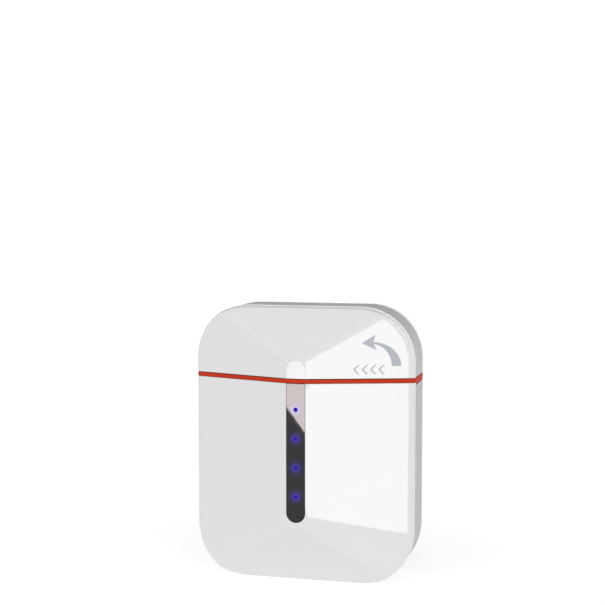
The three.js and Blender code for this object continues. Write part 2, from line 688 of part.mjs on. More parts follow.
function hingeScrew([y, z]) {
  const seat = HINGE.x + WALL + HINGE.gap + HINGE.sheet + 0.05;
  const { headRadius, headHeight, shankRadius, driveRadius, skin } = HINGE_SCREW;
  const head = rod('x', headRadius, [y, z], seat, seat + headHeight, 12);
  const shank = rod('x', shankRadius, [y, z], HINGE.x + skin + 0.1, seat + 0.1, 12);
  const drive = rod('x', driveRadius, [y, z], seat + 0.2, seat + 1, 6);
  return head.add(shank).subtract(drive);
}

const lidKnuckles = [[-HINGE.middleHalf, HINGE.middleHalf]];
const bodyKnuckles = [
  [-HINGE.halfLength, -HINGE.middleHalf - HINGE.gap],
  [HINGE.middleHalf + HINGE.gap, HINGE.halfLength],
];
const pinHalf = HINGE.halfLength + 0.1;
place(body, 'hinge_body_leaf', hingeLeaf(HINGE.body, bodyKnuckles, lidKnuckles), STEEL);
place(lid, 'hinge_lid_leaf', hingeLeaf(HINGE.lid, lidKnuckles, bodyKnuckles), STEEL);
place(body, 'hinge_pin', rod('y', HINGE.pinRadius, [HINGE.x, HINGE.z], -pinHalf, pinHalf), STEEL);
for (const [index, word] of [[0, 'front'], [1, 'rear']]) {
  place(body, `hinge_body_screw_${word}`, hingeScrew(hingeScrewPlaces(HINGE.body)[index]), STEEL);
  place(lid, `hinge_lid_screw_${word}`, hingeScrew(hingeScrewPlaces(HINGE.lid)[index]), STEEL);
}

export default wirelessEarbudsCase;
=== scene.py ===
import math

import bmesh
import bpy
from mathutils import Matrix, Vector


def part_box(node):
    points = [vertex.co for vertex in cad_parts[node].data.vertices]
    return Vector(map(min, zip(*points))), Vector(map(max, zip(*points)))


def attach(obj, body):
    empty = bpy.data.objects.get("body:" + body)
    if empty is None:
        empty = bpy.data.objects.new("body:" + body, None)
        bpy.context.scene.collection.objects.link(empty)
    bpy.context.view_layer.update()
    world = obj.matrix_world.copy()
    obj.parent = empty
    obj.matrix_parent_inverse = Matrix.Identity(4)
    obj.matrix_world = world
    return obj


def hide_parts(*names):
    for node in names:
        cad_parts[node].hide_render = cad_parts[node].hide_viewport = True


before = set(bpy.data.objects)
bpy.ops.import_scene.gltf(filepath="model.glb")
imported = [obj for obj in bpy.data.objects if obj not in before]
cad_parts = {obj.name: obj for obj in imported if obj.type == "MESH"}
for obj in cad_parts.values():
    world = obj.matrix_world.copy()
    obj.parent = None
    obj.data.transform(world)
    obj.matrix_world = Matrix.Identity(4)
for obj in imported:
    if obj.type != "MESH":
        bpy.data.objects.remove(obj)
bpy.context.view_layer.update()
MM = 0.001

# ---------- sizes ----------


def node_box(node, shift=0.0):
    """The node's lowest and highest corners in millimetres, with x moved back by shift."""
    return [[c[0] / MM - shift, c[1] / MM, c[2] / MM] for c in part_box(node)]


CENTRE_X = sum(corner[0] for corner in node_box("body_back_cover")) / 2


def case_box(node):
    return node_box(node, CENTRE_X)


HALF_WIDTH = case_box("body_back_cover")[1][0]
HEIGHT = case_box("lid_frame")[1][2]
EDGE = case_box("body_frame")[1][1]
RIDGE_Y = case_box("body_back_cover")[1][1]
COVER_TOP = case_box("body_back_cover")[1][2]
FRAME_TOP = case_box("body_frame")[1][2]
LID_BOTTOM = case_box("lid_back_cover")[0][2]
SKIRT_LOW, TRIM_TOP = (corner[2] for corner in case_box("red_trim_ring"))
HINGE_X, HINGE_Z = -HALF_WIDTH, (TRIM_TOP + LID_BOTTOM) / 2

CORNER = 10.6
JOINT = 0.06
WALL = 1.2
TRIM_LOW = COVER_TOP + JOINT
TRIM_SIDE_LOW = FRAME_TOP + JOINT
CROWN = RIDGE_Y - EDGE
RIDGE_HALF, RIDGE_LOW, RIDGE_HIGH = 1.95, 11.6, 44.5
# half the depth of the case where each facet meets the outline, and so its rise above the frame's edge
SIDE_DEPTH, TOP_DEPTH, BOTTOM_DEPTH = 5.16, 6.24, 5.97
SIDE_RISE, TOP_RISE, BOTTOM_RISE = SIDE_DEPTH - EDGE, TOP_DEPTH - EDGE, BOTTOM_DEPTH - EDGE
# the rounded border of the covers: its width, its drop, and the least that it leaves of a cover's rise
BORDER_WIDTH, BORDER_DROP, BORDER_FOOT = 0.6, 0.5, 0.1
SEAM_BEVEL = 0.07
# how far in from the outside the trim's wall and the bore of its skirt are
TRIM_WALL, TRIM_BORE = 1.3, 1.9

SLOT_HALF, SLOT_LOW, SLOT_HIGH = 1.9, 12.74, 44.46
WINDOW_HALF, WINDOW_LOW, INLAY_HIGH = 1.84, 12.8, 44.4
# the finer plates reach this far past the CAD's, which closes the line around them
WINDOW_REACH, INLAY_REACH = 0.03, 0.04
LIGHT_TOP, LIGHT_PITCH, LIGHT_COUNT = 34.82, 5.66, 4
PIPE_RADIUS, PIPE_HOLE, PIPE_BACK = 0.42, 0.44, 9.3

DECK_TOP = case_box("earbud_tray")[1][2]
CUP_X, CUP_RX, CUP_RY, CUP_DEPTH = 9.6, 8.0, 6.3, 12.5
STEM_X, STEM_RADIUS, STEM_FLOOR = 13.0, 3.9, 5.2
LINER_LOW = case_box("lid_liner")[0][2]
LID_CUP_HEIGHT = 7.5

# ---------- materials ----------


def shader(name):
    """A new material: its node tree, its Principled shader and the object's own coordinates."""
    material = bpy.data.materials.new(name)
    material.use_nodes = True
    tree = material.node_tree
    principled = tree.nodes["Principled BSDF"]
    coordinates = tree.nodes.new("ShaderNodeTexCoord").outputs["Object"]
    return material, tree, principled, coordinates


def noise(tree, coordinates, scale, detail=2.0, stretch=(1, 1, 1)):
    """Noise with features about 1/scale metres across, between 0 and 1."""
    mapping = tree.nodes.new("ShaderNodeMapping")
    mapping.inputs["Scale"].default_value = stretch
    tree.links.new(coordinates, mapping.inputs["Vector"])
    texture = tree.nodes.new("ShaderNodeTexNoise")
    texture.inputs["Scale"].default_value = scale
    texture.inputs["Detail"].default_value = detail
    tree.links.new(mapping.outputs["Vector"], texture.inputs["Vector"])
    return texture.outputs["Fac"]


def blend_colours(tree, factor, low, high):
    ramp = tree.nodes.new("ShaderNodeValToRGB")
    ramp.color_ramp.elements[0].position = 0.3
    ramp.color_ramp.elements[0].color = (*low, 1)
    ramp.color_ramp.elements[1].position = 0.7
    ramp.color_ramp.elements[1].color = (*high, 1)
    tree.links.new(factor, ramp.inputs["Fac"])
    return ramp.outputs["Color"]


def spread(tree, factor, low, high):
    scale = tree.nodes.new("ShaderNodeMapRange")
    scale.inputs["To Min"].default_value = low
    scale.inputs["To Max"].default_value = high
    tree.links.new(factor, scale.inputs["Value"])
    return scale.outputs["Result"]


def bump(tree, factor, principled, depth, strength=1.0):
    node = tree.nodes.new("ShaderNodeBump")
    node.inputs["Strength"].default_value = strength
    node.inputs["Distance"].default_value = depth * MM
    tree.links.new(factor, node.inputs["Height"])
    tree.links.new(node.outputs["Normal"], principled.inputs["Normal"])


def moulded(name, colour, roughness, specular=0.5, metallic=0.0, mottle=0.02, grain=900, depth=0.002,
            stretch=(1, 1, 1), coat=0.0):
    """A moulded, plated or brushed finish: slightly uneven colour and gloss, and a fine surface grain."""
    material, tree, principled, coordinates = shader(name)
    broad = noise(tree, coordinates, 160, 3)
    low = [c * (1 - mottle) for c in colour]
    high = [min(1.0, c * (1 + mottle)) for c in colour]
    tree.links.new(blend_colours(tree, broad, low, high), principled.inputs["Base Color"])
    fine = noise(tree, coordinates, grain, 2, stretch)
    gloss = spread(tree, fine, roughness * 0.85, roughness * 1.15)
    tree.links.new(gloss, principled.inputs["Roughness"])
    bump(tree, fine, principled, depth)
    principled.inputs["Specular IOR Level"].default_value = specular
    principled.inputs["Metallic"].default_value = metallic
    principled.inputs["Coat Weight"].default_value = coat
    principled.inputs["Coat Roughness"].default_value = 0.03
    return material


def math_node(tree, operation, first, second=0.0):
    node = tree.nodes.new("ShaderNodeMath")
    node.operation = operation
    for socket, value in zip(node.inputs, (first, second)):
        if isinstance(value, (int, float)):
            socket.default_value = value
        else:
            tree.links.new(value, socket)
    return node.outputs["Value"]


def light_distance(tree, coordinates):
    """How far a point is, in millimetres along X and Z, from the middle of the nearest level light."""
    parts = tree.nodes.new("ShaderNodeSeparateXYZ")
    tree.links.new(coordinates, parts.inputs["Vector"])
    x = math_node(tree, "SUBTRACT", math_node(tree, "DIVIDE", parts.outputs["X"], MM), CENTRE_X)
    z = math_node(tree, "SUBTRACT", math_node(tree, "DIVIDE", parts.outputs["Z"], MM), LIGHT_TOP)
    steps = math_node(tree, "DIVIDE", z, LIGHT_PITCH)
    nearest = math_node(tree, "MAXIMUM", math_node(tree, "ROUND", steps), 1 - LIGHT_COUNT)
    nearest = math_node(tree, "MINIMUM", nearest, 0)
    away = math_node(tree, "SUBTRACT", z, math_node(tree, "MULTIPLY", nearest, LIGHT_PITCH))
    square = math_node(tree, "ADD", math_node(tree, "POWER", x, 2), math_node(tree, "MULTIPLY", away, away))
    return math_node(tree, "SQRT", square)


def painted_halo(tree, distance, width, brightness):
    """Painted glow: brightness that fades as a bell with distance from a light."""
    scaled = math_node(tree, "DIVIDE", distance, width)
    power = math_node(tree, "MULTIPLY", math_node(tree, "MULTIPLY", scaled, scaled), -1)
    return math_node(tree, "MULTIPLY", math_node(tree, "EXPONENT", power), brightness)


def smoked_window():
    """Dark polished plastic, with a painted blue glow round each level light behind it."""
    material, tree, principled, coordinates = shader("window_smoke")
    broad = noise(tree, coordinates, 220, 3)
    tree.links.new(blend_colours(tree, broad, (0.006, 0.0035, 0.004), (0.010, 0.006, 0.007)),
                   principled.inputs["Base Color"])
    fine = noise(tree, coordinates, 1400, 2)
    tree.links.new(spread(tree, fine, 0.012, 0.03), principled.inputs["Roughness"])
    bump(tree, fine, principled, 0.00015)
    principled.inputs["Specular IOR Level"].default_value = 0.42
    # painted glow: blue emission round each level light stands in for its light shining through the window
    principled.inputs["Emission Color"].default_value = (0.10, 0.07, 1, 1)
    distance = light_distance(tree, coordinates)
    window_painted_glow = math_node(tree, "ADD", painted_halo(tree, distance, 0.7, 0.40), painted_halo(tree, distance, 1.4, 0.05))
    tree.links.new(window_painted_glow, principled.inputs["Emission Strength"])
    return material


def pipe_end_with_painted_glow():
    """The end of a light pipe: deep blue, with a painted glow that is brighter towards its rim."""
    material, tree, principled, coordinates = shader("light_blue")
    distance = light_distance(tree, coordinates)
    fine = noise(tree, coordinates, 1800, 2)
    tree.links.new(blend_colours(tree, fine, (0.004, 0.003, 0.03), (0.008, 0.006, 0.05)),
                   principled.inputs["Base Color"])
    tree.links.new(spread(tree, fine, 0.5, 0.7), principled.inputs["Roughness"])
    bump(tree, fine, principled, 0.0006)
    principled.inputs["Specular IOR Level"].default_value = 0.05
    # painted glow: emission from deep to paler, brighter blue with distance from the light's middle, out to
    # the pipe's rim
    ramp = tree.nodes.new("ShaderNodeValToRGB")
    ramp.color_ramp.elements[0].position = 0.2
    ramp.color_ramp.elements[0].color = (0.012, 0.004, 0.33, 1)
    ramp.color_ramp.elements[1].position = 0.42
    ramp.color_ramp.elements[1].color = (0.035, 0.027, 0.42, 1)
    tree.links.new(distance, ramp.inputs["Fac"])
    tree.links.new(ramp.outputs["Color"], principled.inputs["Emission Color"])
    principled.inputs["Emission Strength"].default_value = 1.0
    return material


def circuit_board():
    """Green solder mask over a faint pattern of tracks."""
    material, tree, principled, coordinates = shader("circuit_green")
    bricks = tree.nodes.new("ShaderNodeTexBrick")
    bricks.inputs["Scale"].default_value = 700
    bricks.inputs["Color1"].default_value = (0.02, 0.11, 0.05, 1)
    bricks.inputs["Color2"].default_value = (0.03, 0.15, 0.075, 1)
    bricks.inputs["Mortar"].default_value = (0.05, 0.21, 0.10, 1)
    tree.links.new(coordinates, bricks.inputs["Vector"])
    tree.links.new(bricks.outputs["Color"], principled.inputs["Base Color"])
    fine = noise(tree, coordinates, 1200, 2)
    tree.links.new(spread(tree, fine, 0.3, 0.45), principled.inputs["Roughness"])
    bump(tree, bricks.outputs["Fac"], principled, 0.02)
    return material


MATERIALS = {
    "cover_white": moulded("cover_white", (0.60, 0.60, 0.602), 0.035, mottle=0.004, depth=0.0004),
    "frame_grey": moulded("frame_grey", (0.41, 0.412, 0.415), 0.5, specular=0.2, mottle=0.02, grain=2600,
                          depth=0.004),
    "trim_red": moulded("trim_red", (0.43, 0.034, 0.013), 0.45, specular=0.015, mottle=0.04, grain=2200,
                        depth=0.003),
    "inner_white": moulded("inner_white", (0.70, 0.70, 0.71), 0.22, mottle=0.01, grain=1800, depth=0.0015),
    "inlay_pearl": moulded("inlay_pearl", (0.685, 0.682, 0.687), 0.18, specular=0.2, mottle=0.012, grain=2000,
                           depth=0.001),
    "print_grey": moulded("print_grey", (0.30, 0.31, 0.35), 0.3, mottle=0.03, grain=2600, depth=0.001),
    "window_smoke": smoked_window(),
    "light_blue": pipe_end_with_painted_glow(),
    "light_package": moulded("light_package", (0.78, 0.76, 0.62), 0.35, mottle=0.05),
    "circuit_green": circuit_board(),
    "moulded_black": moulded("moulded_black", (0.02, 0.02, 0.022), 0.45, mottle=0.15, grain=2400,
                             depth=0.004),
    "steel": moulded("steel", (0.58, 0.58, 0.60), 0.28, metallic=1.0, mottle=0.04, grain=1500, depth=0.002,
                     stretch=(1, 12, 1)),
    "magnet_plating": moulded("magnet_plating", (0.66, 0.66, 0.68), 0.15, metallic=1.0, mottle=0.05),
    "contact_gold": moulded("contact_gold", (0.80, 0.56, 0.22), 0.22, metallic=1.0, mottle=0.05),
    "battery_foil": moulded("battery_foil", (0.55, 0.57, 0.59), 0.35, metallic=0.8, mottle=0.06, grain=500,
                            depth=0.02),
    "foam_black": moulded("foam_black", (0.03, 0.03, 0.03), 0.9, mottle=0.3, grain=1600, depth=0.05),
}

# ---------- meshes ----------

PIECES = []
# the angles in degrees above which an edge is shaded as sharp, on a rounded piece and on a flat one
SHARP, FLAT_SHARP = 28, 8


def new_object(name, bm):
    """A new object in the frame's metres from a mesh in millimetres, which is used up."""
    bmesh.ops.recalc_face_normals(bm, faces=bm.faces)
    for vertex in bm.verts:
        vertex.co = Vector(((vertex.co.x + CENTRE_X) * MM, vertex.co.y * MM, vertex.co.z * MM))
    mesh = bpy.data.meshes.new(name)
    bm.to_mesh(mesh)
    bm.free()
    piece = bpy.data.objects.new(name, mesh)
    bpy.context.scene.collection.objects.link(piece)
    return piece


def shade(mesh, sharp):
    mesh.polygons.foreach_set("use_smooth", [True] * len(mesh.polygons))
    mesh.set_sharp_from_angle(angle=math.radians(sharp))


def finish_mesh(name, bm, body, slot, replaced=(), material=None, sharp=SHARP):
    """Makes the piece that rides on body and stands for the nodes in replaced."""
    piece = new_object(name, bm)
    shade(piece.data, sharp)
    piece.data.materials.append(MATERIALS[material or slot])
    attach(piece, body)
    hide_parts(*replaced)
    PIECES.append(piece)
    return piece


def loft(bm, rings, wrap=False, first=True, last=True):
    """Joins rings of the same number of points with quads, and closes the ends unless they wrap round or are
    left open. Returns the rows of vertices."""
    rows = [[bm.verts.new(point) for point in ring] for ring in rings]
    pairs = list(zip(rows, rows[1:]))
    if wrap:
        pairs.append((rows[-1], rows[0]))
    if first and not wrap:
        bm.faces.new(rows[0])
    if last and not wrap:
        bm.faces.new(rows[-1])
    count = len(rows[0])
    for near, far in pairs:
        for i in range(count):
            j = (i + 1) % count
            bm.faces.new((near[i], near[j], far[j], far[i]))
    return rows


def cut_at(bm, z, keep_above):
    """Cuts the solid at a height, keeps one side and closes the cut."""
    geometry = bm.verts[:] + bm.edges[:] + bm.faces[:]
    bmesh.ops.bisect_plane(bm, geom=geometry, plane_co=(0, 0, z), plane_no=(0, 0, 1),
                           clear_inner=keep_above, clear_outer=not keep_above)
    open_edges = [e for e in bm.edges if len(e.link_faces) == 1]
    bmesh.ops.holes_fill(bm, edges=open_edges, sides=0)


def soften(bm, width, chosen, segments=2):
    """Rounds the edges that chosen picks."""
    edges = [e for e in bm.edges if chosen(e)]
    bmesh.ops.bevel(bm, geom=edges, offset=width, offset_type="OFFSET", segments=segments, profile=0.5,
                    affect="EDGES", clamp_overlap=True)


def bevel_seam(bm, seam, on_outside):
    """Rounds the sharp edges at the seam's height whose ends are both on the outside."""
    def chosen(edge):
        outer = all(abs(v.co.z - seam) < 1e-4 and on_outside(v.co) for v in edge.verts)
        return outer and len(edge.link_faces) == 2 and edge.calc_face_angle(0) > 0.8

    soften(bm, SEAM_BEVEL, chosen)


def lerp(a, b, t):
    return tuple(p + (q - p) * t for p, q in zip(a, b))


def steps(low, high, count):
    """As many values as count says, evenly from low to high, both included."""
    return [low + (high - low) * i / (count - 1) for i in range(count)]


# ---------- the roof of facets ----------

SIDE_SLOPE = (CROWN - SIDE_RISE) / (HALF_WIDTH - RIDGE_HALF)
TOP_SLOPE = (CROWN - TOP_RISE) / (HEIGHT - RIDGE_HIGH)
BOTTOM_SLOPE = (CROWN - BOTTOM_RISE) / RIDGE_LOW
HIP_SOFTNESS = 0.3
RIDGE_SOFTNESS = 0.06


def soft_min(a, b, softness):
    overlap = max(softness - abs(a - b), 0) / softness
    return min(a, b) - overlap * overlap * softness / 4


def roof(x, z, inset=0.0):
    """How far a cover stands out of the frame's edge, with every facet moved inwards by inset."""
    side = SIDE_RISE + SIDE_SLOPE * (HALF_WIDTH - abs(x)) - inset * math.hypot(1, SIDE_SLOPE)
    top = TOP_RISE + TOP_SLOPE * (HEIGHT - z) - inset * math.hypot(1, TOP_SLOPE)
    bottom = BOTTOM_RISE + BOTTOM_SLOPE * z - inset * math.hypot(1, BOTTOM_SLOPE)
    hips = soft_min(side, soft_min(top, bottom, HIP_SOFTNESS), HIP_SOFTNESS)
    return soft_min(hips, CROWN - inset, RIDGE_SOFTNESS)


def hip_angle(rise, slope):
    """The corner angle, from the side, where the hip crosses the inner edge of the rounded border."""
    radius = CORNER - BORDER_WIDTH
    low, high = 0.0, math.pi / 2
    for _ in range(40):
        angle = (low + high) / 2
        side = SIDE_RISE + SIDE_SLOPE * (CORNER - radius * math.cos(angle))
        end = rise + slope * (CORNER - radius * math.sin(angle))
        low, high = (angle, high) if side < end else (low, angle)
    return angle


def crowded(low, high, count, power=1.8):
    """Values from low to high that draw closer together towards high."""
    return [high - (high - low) * (1 - i / (count - 1)) ** power for i in range(count)]


# Shares that match the outline with the ridge: how far along the ridge the outline's straight side reaches,
# how far across its end the corner reaches, and how much of a slot's round end the hip has turned.
STRAIGHT_SHARE, CORNER_SHARE, HIP_TURN = 0.80, 0.45, 0.58


def quarter(rise, slope, flip):
    """A quarter of the outline, from the middle of the side to the middle of an end: each point and its
    outward normal, the matching point of the ridge and the matching angle of a slot's round end."""
    hip = hip_angle(rise, slope)
    middle = HEIGHT / 2
    reach = middle - CORNER
    corner_x = HALF_WIDTH - CORNER
    corner_z = middle + flip * reach
    points = [(HALF_WIDTH, middle + flip * h, 1, 0, STRAIGHT_SHARE * h / reach, 0.0)
              for h in steps(0, reach, 11)[:-1]]
    beyond_hip = [hip + math.pi / 2 - a for a in crowded(hip, math.pi / 2, 12)[::-1]]
    for angle in crowded(0, hip, 22)[:-1] + beyond_hip:
        u, v = math.cos(angle), math.sin(angle)
        along = STRAIGHT_SHARE + (1 - STRAIGHT_SHARE) * min(angle / hip, 1)
        across = CORNER_SHARE * max(0, (angle - hip) / (math.pi / 2 - hip))
        points.append((corner_x + CORNER * u, corner_z + flip * CORNER * v, u, flip * v, along, across))
    for x in steps(corner_x, 0, 12)[1:]:
        across = CORNER_SHARE + (1 - CORNER_SHARE) * (1 - x / corner_x)
        points.append((x, corner_z + flip * CORNER, 0, flip, 1.0, across))
    half_ridge, ridge_middle = (RIDGE_HIGH - RIDGE_LOW) / 2, (RIDGE_HIGH + RIDGE_LOW) / 2
    quarter_points = []
    for x, z, nx, nz, along, across in points:
        ridge = (RIDGE_HALF * (1 - across), ridge_middle + flip * along * half_ridge)
        to_hip = max(0, along - STRAIGHT_SHARE) / (1 - STRAIGHT_SHARE)
        turn = (HIP_TURN * to_hip + (1 - HIP_TURN) * across) * math.pi / 2
        quarter_points.append({"x": x, "z": z, "nx": nx, "nz": nz, "ridge": ridge, "turn": turn,
                               "straight": min(along / STRAIGHT_SHARE, 1.0), "flip": flip})
    return quarter_points


def mirrored(point):
    ridge = (-point["ridge"][0], point["ridge"][1])
    return {**point, "x": -point["x"], "nx": -point["nx"], "ridge": ridge, "mirror": True}


def whole_outline():
    upper = quarter(TOP_RISE, TOP_SLOPE, 1)
    lower = quarter(BOTTOM_RISE, BOTTOM_SLOPE, -1)
    right = lower[::-1] + upper[1:]
    return right + [mirrored(p) for p in right[1:-1][::-1]]


OUTLINE = whole_outline()


def slot_point(point, half, low, high):
    """The point of an upright slot, round at both ends, that belongs to a point of the outline."""
    sign = -1 if point.get("mirror") else 1
    centre = (low + high) / 2
    reach = (high - low) / 2 - half
    x = sign * half * math.cos(point["turn"])
    z = centre + point["flip"] * (point["straight"] * reach + half * math.sin(point["turn"]))
    return x, z


# how far from the border to the ridge each ring of a cover's facets lies, closer together at both ends
FACET_SHARES = [0.03, 0.08, 0.16, 0.26, 0.38, 0.5, 0.62, 0.74, 0.85, 0.93, 0.97, 0.985, 1.0]


def cover_rings(side):
    """The rings of a cover's skin: outside from rim to slot, and inside from slot to rim."""
    def outside(point, depth, lift=None):
        x = point["x"] - depth * point["nx"]
        z = point["z"] - depth * point["nz"]
        return x, side * (EDGE + (roof(x, z) if lift is None else lift)), z

    border = [min(roof(p["x"], p["z"]) - BORDER_FOOT, BORDER_DROP) for p in OUTLINE]
    rings = [[outside(p, 0, JOINT) for p in OUTLINE]]
    for i in range(8):
        angle = i / 7 * math.pi / 2
        depth = BORDER_WIDTH * (1 - math.cos(angle))
        ring = []
        for p, drop in zip(OUTLINE, border):
            x, y, z = outside(p, depth)
            ring.append((x, y - side * drop * (1 - math.sin(angle)), z))
        rings.append(ring)

    def facets(inset, shares):
        for share in shares:
            ring = []
            for p in OUTLINE:
                depth = max(inset, BORDER_WIDTH)
                start = (p["x"] - depth * p["nx"], p["z"] - depth * p["nz"])
                x, z = lerp(start, p["ridge"], share)
                ring.append((x, side * (EDGE + roof(x, z, inset)), z))
            yield ring

    def slot(inset, shares):
        for share in shares:
            ring = []
            for p in OUTLINE:
                x, z = lerp(p["ridge"], slot_point(p, SLOT_HALF, SLOT_LOW, SLOT_HIGH), share)
                ring.append((x, side * (EDGE + roof(x, z, inset)), z))
            yield ring

    rings += facets(0, FACET_SHARES)
    rings += slot(0, [0.5, 1.0])
    inside = [*slot(WALL, [1.0, 0.5]), *facets(WALL, [1.0, 0.75, 0.5, 0.25, 0.0])]
    inside.append([(p["x"] - WALL * p["nx"], side * (EDGE + JOINT), p["z"] - WALL * p["nz"])
                   for p in OUTLINE])
    return rings, inside


def cover(name, side, body, seam):
    bm = bmesh.new()
    outside, inside = cover_rings(side)
    loft(bm, inside + outside, wrap=side < 0)
    cut_at(bm, seam, keep_above=body == "lid")
    bevel_seam(bm, seam, lambda co: abs(co.y) > EDGE + roof(co.x, co.z) - 0.75 * WALL)
    finish_mesh(name, bm, body, "cover_white", [name.replace("_shell", "_cover")])


cover("body_front_shell", -1, "body", COVER_TOP)
cover("body_back_shell", 1, "body", COVER_TOP)
cover("lid_front_shell", -1, "lid", LID_BOTTOM)
cover("lid_back_shell", 1, "lid", LID_BOTTOM)

# ---------- frames and trim ----------

FRAME_EDGE = 0.15


def frame_ring(low_z, high_z):
    """The straight-sided frame between the covers, with its long edges slightly rounded."""
    arc = [i / 3 * math.pi / 2 for i in range(4)]
    profile = [(FRAME_EDGE * (1 - math.sin(a)), -EDGE + FRAME_EDGE * (1 - math.cos(a))) for a in arc]
    profile += [(inset, -y) for inset, y in profile[::-1]] + [(WALL, EDGE), (WALL, -EDGE)]
    bm = bmesh.new()
    rings = [[(p["x"] - inset * p["nx"], y, p["z"] - inset * p["nz"]) for inset, y in profile]
             for p in OUTLINE]
    loft(bm, rings, wrap=True)
    seam = high_z if low_z <= 0 else low_z
    cut_at(bm, seam, keep_above=low_z > 0)
    bevel_seam(bm, seam, lambda co: abs(co.x) > HALF_WIDTH - WALL / 2)
    return bm


def boolean(piece, tool, operation="DIFFERENCE", sharp=SHARP):
    """Cuts tool from piece, or adds it, and removes tool."""
    modifier = piece.modifiers.new("cut", "BOOLEAN")
    modifier.operation = operation
    modifier.solver = "EXACT"
    modifier.object = tool
    bpy.context.view_layer.update()
    result = bpy.data.meshes.new_from_object(piece.evaluated_get(bpy.context.evaluated_depsgraph_get()))
    piece.modifiers.clear()
    piece.data = result
    shade(result, sharp)
    bpy.data.objects.remove(tool)


def cutter(rings):
    """A plain solid for boolean cuts, lofted through rings in millimetres."""
    bm = bmesh.new()
    loft(bm, rings)
    return new_object("cutter", bm)


def block(x0, x1, y0, y1, z0, z1):
    return [[(x0, y0, z), (x1, y0, z), (x1, y1, z), (x0, y1, z)] for z in (z0, z1)]


def stadium(half_width, half_depth, z, count=12):
    """A flat ring with round ends, lying at height z."""
    reach = half_width - half_depth
    points = []
    for sign in (1, -1):
        for i in range(count + 1):
            angle = math.pi * (i / count - 0.5)
            x, y = reach + half_depth * math.cos(angle), half_depth * math.sin(angle)
            points.append((sign * x, sign * y, z))
    return points


NOTCH_HALF, NOTCH_ABOVE = 2.6, 1.1
PORT_HALF_WIDTH, PORT_HALF_DEPTH, PORT_LIP = 4.6, 1.75, 0.2
# how far a cut runs past the wall that it goes through
PAST = 0.1

body_frame = finish_mesh("body_band", frame_ring(0, FRAME_TOP), "body", "frame_grey", ["body_frame"])
port_flare = PORT_LIP + PAST
boolean(body_frame, cutter([stadium(PORT_HALF_WIDTH + port_flare, PORT_HALF_DEPTH + port_flare, -PAST),
                            stadium(PORT_HALF_WIDTH, PORT_HALF_DEPTH, PORT_LIP),
                            stadium(PORT_HALF_WIDTH, PORT_HALF_DEPTH, WALL + 1)]))
lid_frame = finish_mesh("lid_band", frame_ring(LID_BOTTOM, HEIGHT), "lid", "frame_grey", ["lid_frame"])
boolean(lid_frame, cutter(block(-HALF_WIDTH - 1, -HALF_WIDTH + WALL + PAST, -NOTCH_HALF, NOTCH_HALF,
                                LID_BOTTOM - 1, HINGE_Z + NOTCH_ABOVE)))


def gem_section(inset):
    """The four-sided outline of the covers at the seam, moved in by inset: its corner beside the wall and its
    corner at the ridge."""
    lean = math.hypot(1, SIDE_SLOPE)
    turn = EDGE + SIDE_RISE + SIDE_SLOPE * inset - lean * inset
    ridge = RIDGE_HALF - (lean - 1) / SIDE_SLOPE * inset
    return (HALF_WIDTH - inset, turn), (ridge, RIDGE_Y - inset)


# half the depth of the stretch of the trim's side whose inner faces stay square, so that the hinge fits
TRIM_FOLD = 2.9


def trim_quarter():
    """Stations of the trim from the middle of the side wall to the ridge: the outer point, its lowest height,
    and the matching points of the trim's wall and of its bore."""
    level = (TRIM_LOW + TRIM_TOP) / 2
    wall_top = EDGE + SIDE_RISE
    outer = [(HALF_WIDTH, y, TRIM_SIDE_LOW) for y in (0, NOTCH_HALF, (NOTCH_HALF + EDGE) / 2, EDGE)]
    outer += [(HALF_WIDTH, EDGE + 0.001, TRIM_LOW)]
    drop = min(roof(HALF_WIDTH, level) - BORDER_FOOT, BORDER_DROP)
    for i in range(8):
        angle = i / 7 * math.pi / 2
        x = HALF_WIDTH - BORDER_WIDTH * (1 - math.cos(angle))
        outer.append((x, EDGE + roof(x, level) - drop * (1 - math.sin(angle)), TRIM_LOW))
    inner_x = HALF_WIDTH - BORDER_WIDTH
    outer += [(x, EDGE + roof(x, level), TRIM_LOW) for x in steps(inner_x, RIDGE_HALF, 9)[1:]]
    outer += [(x, RIDGE_Y, TRIM_LOW) for x in (1.2, 0)]
    run = HALF_WIDTH - RIDGE_HALF

    def inner(x, y, inset):
        (wall, turn), (ridge, top) = gem_section(inset)
        if x >= HALF_WIDTH:
            beyond = max(y - TRIM_FOLD, 0) / (wall_top - TRIM_FOLD)
            return wall, min(y, TRIM_FOLD) + beyond * (turn - TRIM_FOLD)
        if x > RIDGE_HALF:
            return lerp((wall, turn), (ridge, top), (HALF_WIDTH - x) / run)
        return x * ridge / RIDGE_HALF, top

    stations = []
    for x, y, low in outer:
        inner_y = min(y, wall_top)
        stations.append(((x, y), low, inner(x, inner_y, TRIM_WALL), inner(x, inner_y, TRIM_BORE)))
    return stations


def trim_ring():
    """The red rim that closes the body, with a skirt inside, open where the hinge is."""
    right = trim_quarter()
    left = right[1:]

    def flipped(point, sx, sy):
        return sx * point[0], sy * point[1]

    def turned(stations, sx, sy):
        return [(flipped(outer, sx, sy), low, flipped(mid, sx, sy), flipped(bore, sx, sy))
                for outer, low, mid, bore in stations]

    stations = turned(left, -1, -1) + turned(right[:-1][::-1], 1, -1)
    stations += turned(right[1:], 1, 1) + turned(left[:-1][::-1], -1, 1)
    rings = []
    for outer, low, mid, bore in stations:
        soft = lerp(outer, mid, SEAM_BEVEL / TRIM_WALL)
        rings.append([(*outer, TRIM_TOP - SEAM_BEVEL), (*soft, TRIM_TOP), (*bore, TRIM_TOP),
                      (*bore, SKIRT_LOW), (*mid, SKIRT_LOW), (*mid, low), (*soft, low),
                      (*outer, low + SEAM_BEVEL)])
    bm = bmesh.new()
    loft(bm, rings)
    finish_mesh("trim_rim", bm, "body", "trim_red", ["red_trim_ring"])


trim_ring()

# ---------- window, lights, inlay and print ----------


